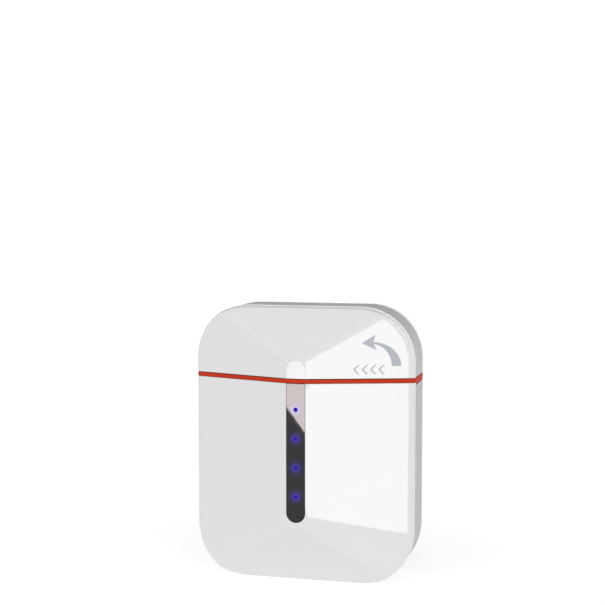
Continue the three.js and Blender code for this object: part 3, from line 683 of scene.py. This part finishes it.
def plate(name, half, low, high, round_end, body, slot, replaced, bevel):
    """A strip along the ridge, round at one end and square at the other, flush with the ridge."""
    def ring(inset, y):
        points = []
        radius = half - inset
        for i in range(25):
            angle = math.pi * i / 24
            if round_end == "bottom":
                points.append((-radius * math.cos(angle), y, low + half - radius * math.sin(angle)))
            else:
                points.append((radius * math.cos(angle), y, high - half + radius * math.sin(angle)))
        square = (high - inset) if round_end == "bottom" else (low + inset)
        sign = 1 if round_end == "bottom" else -1
        return points + [(sign * radius, y, square), (-sign * radius, y, square)]

    rings = []
    for i in range(4):
        angle = i / 3 * math.pi / 2
        rings.append(ring(bevel * (1 - math.sin(angle)), -RIDGE_Y + bevel * (1 - math.cos(angle))))
    rings.append(ring(0, -RIDGE_Y + WALL))
    bm = bmesh.new()
    loft(bm, rings)
    return finish_mesh(name, bm, body, slot, replaced, sharp=FLAT_SHARP)


def disc(x, y, z, radius, count=32):
    """A ring round an axis along Y."""
    turns = [2 * math.pi * i / count for i in range(count)]
    return [(x + radius * math.cos(a), y, z + radius * math.sin(a)) for a in turns]


window = plate("window_plate", WINDOW_HALF + WINDOW_REACH, WINDOW_LOW - WINDOW_REACH, COVER_TOP, "bottom",
               "body", "window_smoke", ["charge_window"], 0.06)
plate("ridge_plate", WINDOW_HALF + INLAY_REACH, LID_BOTTOM, INLAY_HIGH + INLAY_REACH, "top", "lid",
      "inlay_pearl", ["lid_ridge_inlay"], 0.05)
# the round end of a light pipe, as (radius, depth below the ridge)
PIPE_CROWN = [(0.12, 0.02), (0.24, 0.03), (0.33, 0.05), (0.39, 0.09), (PIPE_RADIUS, 0.16)]
for i in range(LIGHT_COUNT):
    z = LIGHT_TOP - i * LIGHT_PITCH
    boolean(window, cutter([disc(0, y, z, PIPE_HOLE) for y in (-RIDGE_Y - 1, -RIDGE_Y + WALL + 1)]),
            sharp=FLAT_SHARP)
    bm = bmesh.new()
    rings = [disc(0, -RIDGE_Y + depth, z, radius) for radius, depth in PIPE_CROWN]
    loft(bm, rings + [disc(0, y, z, PIPE_RADIUS) for y in (-RIDGE_Y + WALL - 0.1, -PIPE_BACK)])
    finish_mesh(f"pipe_end_{i + 1}", bm, "body", "light_blue", [f"light_pipe_{i + 1}"])


# how far the print stands out of the facet, and how far it reaches into it
PRINT_PROUD, PRINT_ROOT = 0.012, 0.05


def printed(name, outline):
    """A printed shape on the lid's right front facet, a hair proud of it."""
    bm = bmesh.new()
    loft(bm, [[(x, -EDGE - roof(x, z) - lift, z) for x, z in outline] for lift in (PRINT_PROUD, -PRINT_ROOT)])
    finish_mesh(name, bm, "lid", "frame_grey", material="print_grey", sharp=60)


def arrow_outline():
    """An arrow that curves up from the right and points left, the way the lid swings."""
    centre_x, centre_z = 14.0, 43.2
    tip, upper_barb, lower_barb = (12.24, 47.66), (14.82, 49.25), (14.97, 46.28)

    def arc(rx, rz, start, end):
        return [(centre_x + rx * math.cos(a), centre_z + rz * math.sin(a)) for a in steps(start, end, 14)]

    outer = arc(5.5, 4.7, 0, math.radians(86.5))
    inner = arc(3.75, 4.3, math.radians(83.5), 0)
    return outer + [upper_barb, tip, lower_barb] + inner


printed("print_arrow", arrow_outline())


def chevron(x, z, width, half_height, stroke):
    """A thin direction mark that points left, its point at x."""
    back = x + width
    return [(back, z + half_height), (x, z), (back, z - half_height), (back + stroke, z - half_height),
            (x + stroke, z), (back + stroke, z + half_height)]


MARK_COUNT, MARK_X, MARK_PITCH, MARK_Z = 4, 10.65, 1.55, 42.55
MARK_WIDTH, MARK_HALF_HEIGHT, MARK_STROKE = 0.85, 0.92, 0.36

for i in range(MARK_COUNT):
    printed(f"print_mark_{i + 1}",
            chevron(MARK_X + MARK_PITCH * i, MARK_Z, MARK_WIDTH, MARK_HALF_HEIGHT, MARK_STROKE))

# ---------- earbud tray, lid liner and contacts ----------

RIM = 0.15
DECK_INSET, DECK_THICKNESS = 2.0, 2
# the tray's walls: round its cups, under them, round its stem tubes and under those
CUP_WALL, CUP_FLOOR, TUBE_WALL, TUBE_FLOOR = 0.25, 0.9, 0.7, 1
TUBE_FILLET, TUBE_OUTER_FILLET = 0.5, 0.3
# the liner's gap inside the lid, and the walls round and over its cups
LINER_GAP, DOME_WALL, DOME_TOP = 0.15, 0.7, 0.9
# the room that the liner leaves for the hinge, along X and along Y
HINGE_ROOM_X, HINGE_ROOM_Y = 1.6, 0.2


def deck_outline(inset, notch=None):
    (wall, turn), (ridge, top) = gem_section(inset)
    right = [(ridge, -top), (wall, -turn), (wall, turn), (ridge, top)]
    left = [(-ridge, top), (-wall, turn)]
    if notch:
        left += [(-wall, notch[1]), (notch[0], notch[1]), (notch[0], -notch[1]), (-wall, -notch[1])]
    return right + left + [(-wall, -turn), (-ridge, -top)]


def oval(cx, rx, ry, z, count=56):
    turns = [2 * math.pi * i / count for i in range(count)]
    return [(cx + rx * math.cos(a), ry * math.sin(a), z) for a in turns]


def rounded_rim(cx, rx, ry, z, radius, away):
    """Rings that turn a flat edge down into a hollow; away is -1 downwards and 1 upwards."""
    rings = []
    for i in range(4):
        angle = i / 3 * math.pi / 2
        grow = radius * (1 - math.sin(angle))
        rings.append(oval(cx, rx + grow, ry + grow, z + away * radius * (1 - math.cos(angle))))
    return rings


def well(sign, rx, ry, depth, top, start_z, radius, floor, fillet):
    """The rings of one earbud's well below start_z: an ellipsoidal cup that runs into a round tube."""
    scale = math.sqrt(1 - ((top - start_z) / depth) ** 2)
    rim = oval(sign * CUP_X, rx * scale, ry * scale, start_z)
    circle = oval(sign * STEM_X, radius, radius, 0)
    rings = []
    for share in steps(0, 1, 14)[1:]:
        ring = []
        for a, b in zip(rim, circle):
            x, y = lerp(a[:2], b[:2], share ** 2)
            inside = 1 - ((x - sign * CUP_X) / rx) ** 2 - (y / ry) ** 2
            ring.append((x, y, top - depth * math.sqrt(max(inside, 0))))
        rings.append(ring)
    for i in range(5):
        angle = i / 4 * math.pi / 2
        inner = radius - fillet * (1 - math.cos(angle))
        rings.append(oval(sign * STEM_X, inner, inner, floor + fillet * (1 - math.sin(angle))))
    return rings


def fill_deck(bm, loops):
    """Fills the flat area inside the first loop and outside the others."""
    edges = []
    for loop in loops:
        for i in range(len(loop)):
            pair = (loop[i], loop[(i + 1) % len(loop)])
            edges.append(bm.edges.get(pair) or bm.edges.new(pair))
    bmesh.ops.triangle_fill(bm, use_beauty=True, edges=edges)


def deck_sides(bm, outline, low, high):
    """The upright sides of a deck. Returns the vertices of their lower and upper edges."""
    return loft(bm, [[(x, y, z) for x, y in outline] for z in (low, high)], first=False, last=False)


def earbud_tray():
    """A deck with a cup for each earbud's head, which runs into a tube for its stem."""
    bm = bmesh.new()
    low = DECK_TOP - DECK_THICKNESS
    outer_rx, outer_ry, outer_depth = CUP_RX + CUP_WALL, CUP_RY + CUP_WALL, CUP_DEPTH + CUP_FLOOR
    scale = math.sqrt(1 - (DECK_THICKNESS / outer_depth) ** 2)
    under, over = deck_sides(bm, deck_outline(DECK_INSET), low, DECK_TOP)
    tops, bottoms = [over], [under]
    for sign in (-1, 1):
        inside = rounded_rim(sign * CUP_X, CUP_RX, CUP_RY, DECK_TOP, RIM, -1)
        inside += well(sign, CUP_RX, CUP_RY, CUP_DEPTH, DECK_TOP, DECK_TOP - RIM, STEM_RADIUS, STEM_FLOOR,
                       TUBE_FILLET)
        tops.append(loft(bm, inside, first=False)[0])
        outside = [oval(sign * CUP_X, outer_rx * scale, outer_ry * scale, low)]
        outside += well(sign, outer_rx, outer_ry, outer_depth, DECK_TOP, low, STEM_RADIUS + TUBE_WALL,
                        STEM_FLOOR - TUBE_FLOOR, TUBE_OUTER_FILLET)
        bottoms.append(loft(bm, outside, first=False)[0])
    fill_deck(bm, tops)
    fill_deck(bm, bottoms)
    return finish_mesh("earbud_nest", bm, "body", "inner_white", ["earbud_tray"])


def dome(sign, rx, ry, height, base, start_z):
    """The rings of a lid cup's hollow or of its outside, from start_z up."""
    rings = []
    first = math.asin((start_z - base) / height)
    for angle in steps(first, math.radians(88), 14)[1:]:
        out, up = math.cos(angle), math.sin(angle)
        rings.append(oval(sign * CUP_X, rx * out, ry * out, base + height * up))
    return rings


def lid_liner():
    """The lid's inner floor, with a domed cup over each earbud's head and a notch for the hinge."""
    bm = bmesh.new()
    high = LINER_LOW + WALL
    outer_rx, outer_ry, outer_height = CUP_RX + DOME_WALL, CUP_RY + DOME_WALL, LID_CUP_HEIGHT + DOME_TOP
    scale = math.sqrt(1 - (WALL / outer_height) ** 2)
    notch = (-HALF_WIDTH + WALL + HINGE_ROOM_X, NOTCH_HALF + HINGE_ROOM_Y)
    under, over = deck_sides(bm, deck_outline(WALL + LINER_GAP, notch), LINER_LOW, high)
    bottoms, tops = [under], [over]
    for sign in (-1, 1):
        inside = rounded_rim(sign * CUP_X, CUP_RX, CUP_RY, LINER_LOW, RIM, 1)
        inside += dome(sign, CUP_RX, CUP_RY, LID_CUP_HEIGHT, LINER_LOW, LINER_LOW + RIM)
        bottoms.append(loft(bm, inside, first=False)[0])
        outside = [oval(sign * CUP_X, outer_rx * scale, outer_ry * scale, high)]
        outside += dome(sign, outer_rx, outer_ry, outer_height, LINER_LOW, high)
        tops.append(loft(bm, outside, first=False)[0])
    fill_deck(bm, bottoms)
    fill_deck(bm, tops)
    finish_mesh("lid_lining", bm, "lid", "inner_white", ["lid_liner"])


def turned_pin(name, axis, place, profile, body, slot, replaced, count=28):
    """A turned piece: rings of (radius, distance) along an axis, which place locates across it."""
    bm = bmesh.new()
    rings = []
    for radius, along in profile:
        ring = []
        for i in range(count):
            angle = 2 * math.pi * i / count
            u, v = place[0] + radius * math.cos(angle), place[1] + radius * math.sin(angle)
            ring.append((u, v, along) if axis == "z" else (u, along, v))
        rings.append(ring)
    loft(bm, rings)
    finish_mesh(name, bm, body, slot, replaced)


BARREL, BARREL_BORE, BARREL_FLOOR = 0.5, 0.38, 0.25
PLUNGER = 0.3
PIN_HOLE = 0.6


def contact(word, which):
    """One sprung contact, a barrel and its plunger, and the hole that the tray has for it."""
    node = f"contact_pin_{word}_{which}"
    low, high = case_box(node)
    centre = ((low[0] + high[0]) / 2, 0)
    barrel = [(BARREL - 0.1, low[2]), (BARREL, low[2] + 0.1), (BARREL, high[2] - 0.1),
              (BARREL - 0.03, high[2]), (BARREL_BORE + 0.02, high[2]), (BARREL_BORE, high[2] - 0.04),
              (BARREL_BORE, low[2] + BARREL_FLOOR)]
    turned_pin(f"barrel_{word}_{which}", "z", centre, barrel, "body", "contact_gold", [node])
    hole = [oval(centre[0], PIN_HOLE, PIN_HOLE, z, 28) for z in (low[2], high[2] + 0.5)]
    boolean(nest, cutter(hole))
    node = f"contact_plunger_{word}_{which}"
    low, high = case_box(node)
    plunger = [(PLUNGER - 0.04, low[2]), (PLUNGER, low[2] + 0.04), (PLUNGER, high[2] - 0.16),
               (PLUNGER - 0.03, high[2] - 0.07), (PLUNGER - 0.11, high[2] - 0.015),
               (PLUNGER - 0.22, high[2])]
    turned_pin(f"tip_{word}_{which}", "z", centre, plunger, f"plunger_{word}_{which}", "contact_gold", [node])


nest = earbud_tray()
lid_liner()
for word in ("left", "right"):
    for which in ("outer", "inner"):
        contact(word, which)

# ---------- hinge ----------

KNUCKLE, BORE, PIN, KNUCKLE_GAP, MIDDLE_HALF, HINGE_HALF = 0.8, 0.46, 0.4, 0.1, 0.75, 2.4
PLATE_X = (-HALF_WIDTH + WALL + 0.1, -HALF_WIDTH + WALL + 0.55)
# where a leaf starts, beyond the pin's axis, and the round of its far edge
LEAF_START, LEAF_BEVEL = 0.3, 0.12
# how far the web to the knuckles stays inside the plate, and the room round the other leaf's knuckles
WEB_INSET, KNUCKLE_ROOM = 0.02, 0.15
SCREW_Y, SCREW_HOLE = 1.4, 0.52


def knuckle(y0, y1):
    """The rings of one barrel knuckle with its rims rounded."""
    rim = 0.08
    stations = [(KNUCKLE - rim, y0), (KNUCKLE - 0.3 * rim, y0 + 0.3 * rim), (KNUCKLE, y0 + rim),
                (KNUCKLE, y1 - rim), (KNUCKLE - 0.3 * rim, y1 - 0.3 * rim), (KNUCKLE - rim, y1)]
    return [disc(HINGE_X, y, HINGE_Z, radius, 40) for radius, y in stations]


def hinge_leaf(name, body, node, direction, length, knuckles, cleared, screw_away):
    """A leaf that reaches up or down from the pin, with its knuckles, the gaps for the other leaf's and the
    holes for its screws."""
    near, far = HINGE_Z + direction * LEAF_START, HINGE_Z + direction * length
    web = near + direction * (PLATE_X[1] - PLATE_X[0])
    bm = bmesh.new()
    loft(bm, block(*PLATE_X, -HINGE_HALF, HINGE_HALF, min(near, far), max(near, far)))
    soften(bm, LEAF_BEVEL, lambda e: all(abs(v.co.z - far) < 1e-4 for v in e.verts))
    leaf = finish_mesh(name, bm, body, "steel", [node])
    half = HINGE_HALF - WEB_INSET
    boolean(leaf, cutter(block(HINGE_X, PLATE_X[1] - WEB_INSET, -half, half, min(near, web), max(near, web))),
            "UNION")
    for y0, y1 in cleared:
        ends = (y0 - KNUCKLE_GAP, y1 + KNUCKLE_GAP)
        boolean(leaf, cutter([disc(HINGE_X, y, HINGE_Z, KNUCKLE + KNUCKLE_ROOM, 40) for y in ends]))
    for y0, y1 in knuckles:
        boolean(leaf, cutter(knuckle(y0, y1)), "UNION")
    boolean(leaf, cutter([disc(HINGE_X, y, HINGE_Z, BORE, 40) for y in (-9, 9)]))
    z = HINGE_Z + direction * screw_away
    turns = steps(0, 2 * math.pi, 25)[:-1]
    for y in (-SCREW_Y, SCREW_Y):
        hole = [[(x, y + SCREW_HOLE * math.cos(a), z + SCREW_HOLE * math.sin(a)) for a in turns]
                for x in (PLATE_X[0] - 1, PLATE_X[1] + 1)]
        boolean(leaf, cutter(hole))


MIDDLE = [(-MIDDLE_HALF, MIDDLE_HALF)]
ENDS = [(-HINGE_HALF, -MIDDLE_HALF - KNUCKLE_GAP), (MIDDLE_HALF + KNUCKLE_GAP, HINGE_HALF)]
hinge_leaf("hinge_body_plate", "body", "hinge_body_leaf", -1, 6, ENDS, MIDDLE, 4)
hinge_leaf("hinge_lid_plate", "lid", "hinge_lid_leaf", 1, 2.8, MIDDLE, ENDS, 1.85)
turned_pin("hinge_rod", "y", (HINGE_X, HINGE_Z),
           [(0.2, -2.5), (0.34, -2.47), (PIN, -2.41), (PIN, 2.41), (0.34, 2.47), (0.2, 2.5)],
           "body", "steel", ["hinge_pin"])

# ---------- charging port ----------


SLEEVE_HALF_WIDTH, SLEEVE_HALF_DEPTH, SLEEVE_LOW, SLEEVE_HIGH = 4.45, 1.6, 0.15, 7.4
SLEEVE_SHEET, SLEEVE_BACK = 0.3, 0.4
PORT_CONTACTS, CONTACT_HALF, CONTACT_PROUD = 6, 0.16, 0.03


def port_shell():
    """The folded metal sleeve of the socket, closed at its upper end, with a round front edge."""
    def ring(inset, z):
        return stadium(SLEEVE_HALF_WIDTH - inset, SLEEVE_HALF_DEPTH - inset, z)

    rings = [ring(SLEEVE_SHEET, SLEEVE_HIGH - SLEEVE_BACK)]
    half_sheet = SLEEVE_SHEET / 2
    for i in range(7):
        angle = i / 6 * math.pi
        inset, lift = half_sheet * (1 + math.cos(angle)), half_sheet * (1 - math.sin(angle))
        rings.append(ring(inset, SLEEVE_LOW + lift))
    rings.append(ring(0, SLEEVE_HIGH))
    bm = bmesh.new()
    loft(bm, rings)
    finish_mesh("port_sleeve", bm, "body", "steel", ["charging_port_shell"])


def port_tongue():
    """The socket's tongue with rounded edges, and the contacts that lie a hair proud on both its faces."""
    low, high = case_box("charging_port_tongue")
    bm = bmesh.new()
    loft(bm, block(low[0], high[0], low[1], high[1], low[2], high[2]))
    soften(bm, 0.14, lambda e: True, 3)
    finish_mesh("port_blade", bm, "body", "moulded_black", ["charging_port_tongue"])
    for i in range(PORT_CONTACTS):
        x = i - (PORT_CONTACTS - 1) / 2
        bm = bmesh.new()
        loft(bm, block(x - CONTACT_HALF, x + CONTACT_HALF, low[1] - CONTACT_PROUD, high[1] + CONTACT_PROUD,
                       low[2] + 0.3, high[2] - 1))
        finish_mesh(f"port_contact_{i + 1}", bm, "body", "contact_gold")


port_shell()
port_tongue()

# ---------- finishes of the CAD nodes that stay ----------

KEPT = {
    "moulded_black": ["light_baffle", "lid_sensor", "board_link", "charge_chip", "power_coil"],
    "circuit_green": ["light_board", "main_board", "contact_board"],
    "light_package": [f"level_light_{i + 1}" for i in range(LIGHT_COUNT)],
    "steel": ["board_screw_left", "board_screw_right", "hinge_body_screw_front", "hinge_body_screw_rear",
              "hinge_lid_screw_front", "hinge_lid_screw_rear"],
    "magnet_plating": [f"{kind}_magnet_{word}" for kind in ("earbud", "body_latch", "lid_latch")
                       for word in ("left", "right")],
    "battery_foil": ["battery"],
    "foam_black": ["battery_pad"],
}
for slot, nodes in KEPT.items():
    for node in nodes:
        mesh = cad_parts[node].data
        mesh.materials.clear()
        mesh.materials.append(MATERIALS[slot])
for piece in PIECES:
    even = piece.modifiers.new("even_shading", "WEIGHTED_NORMAL")
    even.keep_sharp = True

# ---------- scene ----------

# half the floor's width, in metres
FLOOR_HALF = 3.0


def floor_material():
    material, tree, principled, coordinates = shader("studio_floor")
    broad = noise(tree, coordinates, 3, 3)
    tree.links.new(blend_colours(tree, broad, (0.50, 0.50, 0.50), (0.52, 0.52, 0.52)),
                   principled.inputs["Base Color"])
    principled.inputs["Roughness"].default_value = 0.9
    principled.inputs["Specular IOR Level"].default_value = 0.0
    principled.inputs["Emission Color"].default_value = (1, 1, 1, 1)
    principled.inputs["Emission Strength"].default_value = 0.67
    return material


def studio_floor():
    bm = bmesh.new()
    corners = ((-FLOOR_HALF, -FLOOR_HALF), (FLOOR_HALF, -FLOOR_HALF), (FLOOR_HALF, FLOOR_HALF),
               (-FLOOR_HALF, FLOOR_HALF))
    bm.faces.new([bm.verts.new((x, y, 0)) for x, y in corners])
    mesh = bpy.data.meshes.new("studio_floor")
    bm.to_mesh(mesh)
    bm.free()
    mesh.materials.append(floor_material())
    floor = bpy.data.objects.new("studio_floor", mesh)
    bpy.context.scene.collection.objects.link(floor)


SKY_BRIGHT, SKY_DIM = 1.12, 0.1


def studio_sky():
    """Bright in front, most of all high up and to the right, bright all round near the horizon, and dim
    above and behind."""
    world = bpy.data.worlds.new("studio")
    bpy.context.scene.world = world
    world.use_nodes = True
    tree = world.node_tree
    background = tree.nodes["Background"]
    direction = tree.nodes.new("ShaderNodeTexCoord").outputs["Generated"]
    parts = tree.nodes.new("ShaderNodeSeparateXYZ")
    tree.links.new(direction, parts.inputs["Vector"])

    def rise(value, start, end):
        node = tree.nodes.new("ShaderNodeMapRange")
        node.interpolation_type = "SMOOTHSTEP"
        node.inputs["From Min"].default_value = start
        node.inputs["From Max"].default_value = end
        tree.links.new(value, node.inputs["Value"])
        return node.outputs["Result"]

    front = rise(math_node(tree, "MULTIPLY", parts.outputs["Y"], -1), 0.0, 0.5)
    high = spread(tree, rise(parts.outputs["Z"], 0.15, 0.6), 1.0, 1.38)
    right = spread(tree, rise(parts.outputs["X"], 0.4, 0.9), 1.0, 1.5)
    low = math_node(tree, "SUBTRACT", 1, rise(parts.outputs["Z"], 0.2, 0.5))
    share = math_node(tree, "MAXIMUM", math_node(tree, "MULTIPLY", front, high), low)
    background.inputs["Color"].default_value = (1, 1, 1, 1)
    strength = math_node(tree, "ADD", math_node(tree, "MULTIPLY", share, SKY_BRIGHT), SKY_DIM)
    tree.links.new(math_node(tree, "MULTIPLY", strength, right), background.inputs["Strength"])


# how far the panels lie above the floor, in millimetres
PANEL_LIFT = 0.05


def reflected_light(name, corners, colour):
    """A flat light just above the floor that shows only in reflections."""
    bm = bmesh.new()
    bm.faces.new([bm.verts.new((x * MM, y * MM, PANEL_LIFT * MM)) for x, y in corners])
    mesh = bpy.data.meshes.new(name)
    bm.to_mesh(mesh)
    bm.free()
    material = bpy.data.materials.new(name)
    material.use_nodes = True
    principled = material.node_tree.nodes["Principled BSDF"]
    principled.inputs["Base Color"].default_value = (0, 0, 0, 1)
    principled.inputs["Emission Color"].default_value = (*colour, 1)
    principled.inputs["Emission Strength"].default_value = 1.0
    mesh.materials.append(material)
    panel = bpy.data.objects.new(name, mesh)
    panel.visible_camera = False
    panel.visible_diffuse = False
    panel.visible_transmission = False
    panel.visible_shadow = False
    bpy.context.scene.collection.objects.link(panel)


studio_floor()
studio_sky()
# seen in the right front facet, from its near edge up
reflected_light("right_panel", [(39, -42), (14, -80), (40, -480), (200, -800), (410, -800)],
                (5.2, 5.2, 5.2))
# seen in the top of the level window, ending on a slant
reflected_light("window_panel", [(-35, -165), (-88, -300), (-10, -300), (-10, -165)],
                (17.8, 16.0, 16.0))

camera = bpy.data.objects.new("camera", bpy.data.cameras.new("camera"))
camera.data.lens = 77.62
camera.data.sensor_width = 36
camera.data.clip_start = 0.01
camera.location = (0.0634, -0.2516, 0.07416)
HEADING, DROP = math.radians(14.401), math.radians(4.309)
view = Vector((-math.sin(HEADING) * math.cos(DROP), math.cos(HEADING) * math.cos(DROP), -math.sin(DROP)))
camera.rotation_euler = view.to_track_quat("-Z", "Y").to_euler()
bpy.context.scene.collection.objects.link(camera)
bpy.context.scene.camera = camera
bpy.context.scene.view_settings.view_transform = "Standard"
